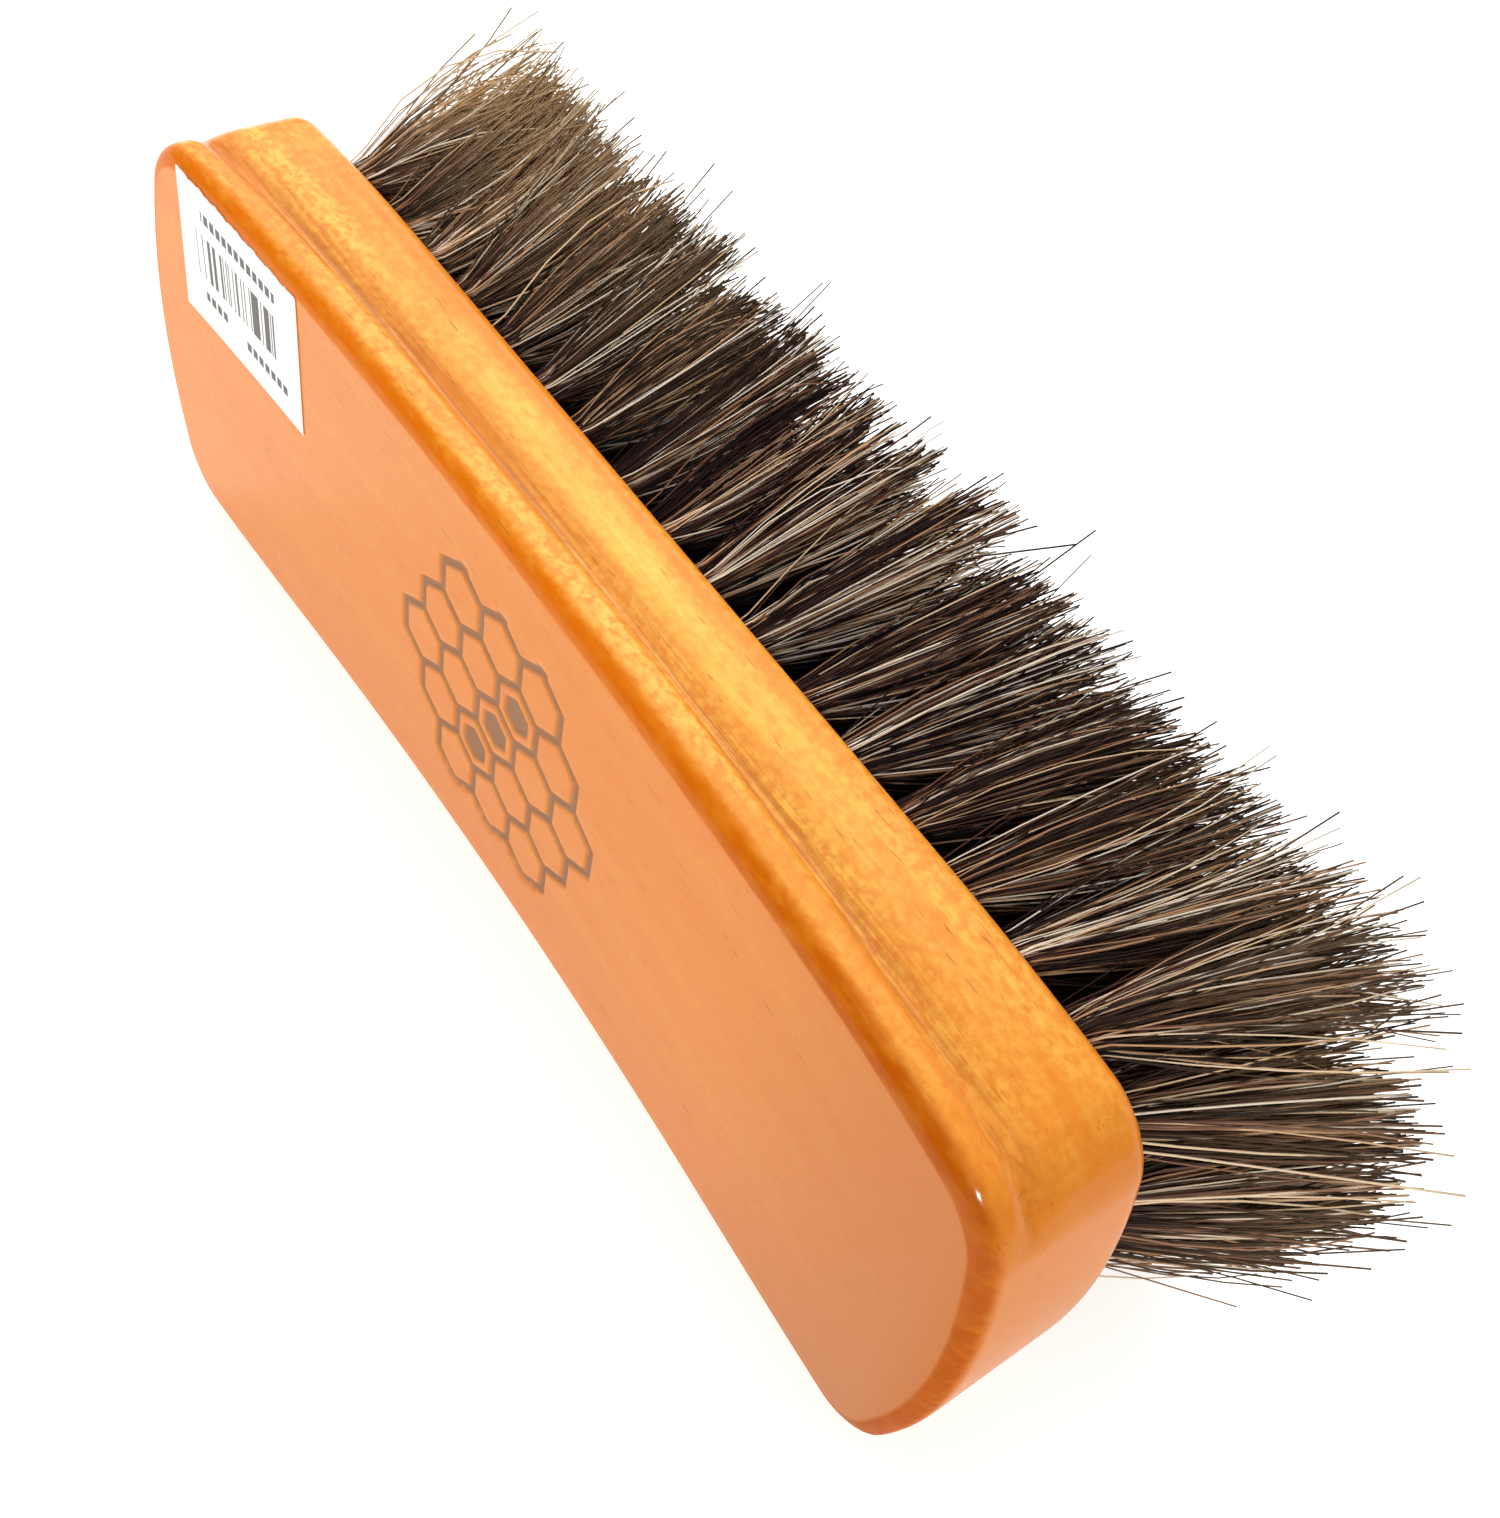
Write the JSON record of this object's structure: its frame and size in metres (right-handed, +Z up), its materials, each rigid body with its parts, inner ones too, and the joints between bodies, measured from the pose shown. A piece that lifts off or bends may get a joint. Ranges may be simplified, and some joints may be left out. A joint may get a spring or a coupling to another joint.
{
  "type": "horsehair block brush",
  "caption": "Wooden block hand brush with a saddle-shaped back, finger grooves and a dense fanned bed of horsehair tufts set in blind holes.",
  "frame": {"origin": "middle of the underside of the bounding box, with the brush lying on one long side", "axes": "+X along the block, away from the labelled end; +Y the way the hair points, so the back faces -Y; +Z up, across the block from its resting long side"},
  "size_m": [0.188, 0.0476, 0.0631],
  "materials": {
    "lacquered_wood": "glossy honey-orange lacquer over fine-pored hardwood",
    "horsehair": "dark brown hair mixed with tan, blonde and a few white hairs",
    "staple_wire": "plain flat steel wire",
    "label_paper": null
  },
  "bodies": {
    "root": {"hair_row_1": "horsehair", "hair_row_2": "horsehair", "hair_row_3": "horsehair", "hair_row_4": "horsehair", "hair_row_5": "horsehair", "handle_block": "lacquered_wood", "price_label": "label_paper", "staple_1_01": "staple_wire", "staple_1_02": "staple_wire", "staple_1_03": "staple_wire", "staple_1_04": "staple_wire", "staple_1_05": "staple_wire", "staple_1_06": "staple_wire", "staple_1_07": "staple_wire", "staple_1_08": "staple_wire", "staple_1_09": "staple_wire", "staple_1_10": "staple_wire", "staple_1_11": "staple_wire", "staple_1_12": "staple_wire", "staple_1_13": "staple_wire", "staple_1_14": "staple_wire", "staple_1_15": "staple_wire", "staple_1_16": "staple_wire", "staple_1_17": "staple_wire", "staple_2_01": "staple_wire", "staple_2_18": "staple_wire", "staple_3_01": "staple_wire", "staple_3_19": "staple_wire", "staple_4_01": "staple_wire", "staple_4_18": "staple_wire", "staple_5_01": "staple_wire", "staple_5_02": "staple_wire", "staple_5_03": "staple_wire", "staple_5_04": "staple_wire", "staple_5_05": "staple_wire", "staple_5_06": "staple_wire", "staple_5_07": "staple_wire", "staple_5_08": "staple_wire", "staple_5_09": "staple_wire", "staple_5_10": "staple_wire", "staple_5_11": "staple_wire", "staple_5_12": "staple_wire", "staple_5_13": "staple_wire", "staple_5_14": "staple_wire", "staple_5_15": "staple_wire", "staple_5_16": "staple_wire", "staple_5_17": "staple_wire"}
  },
  "joints": []
}
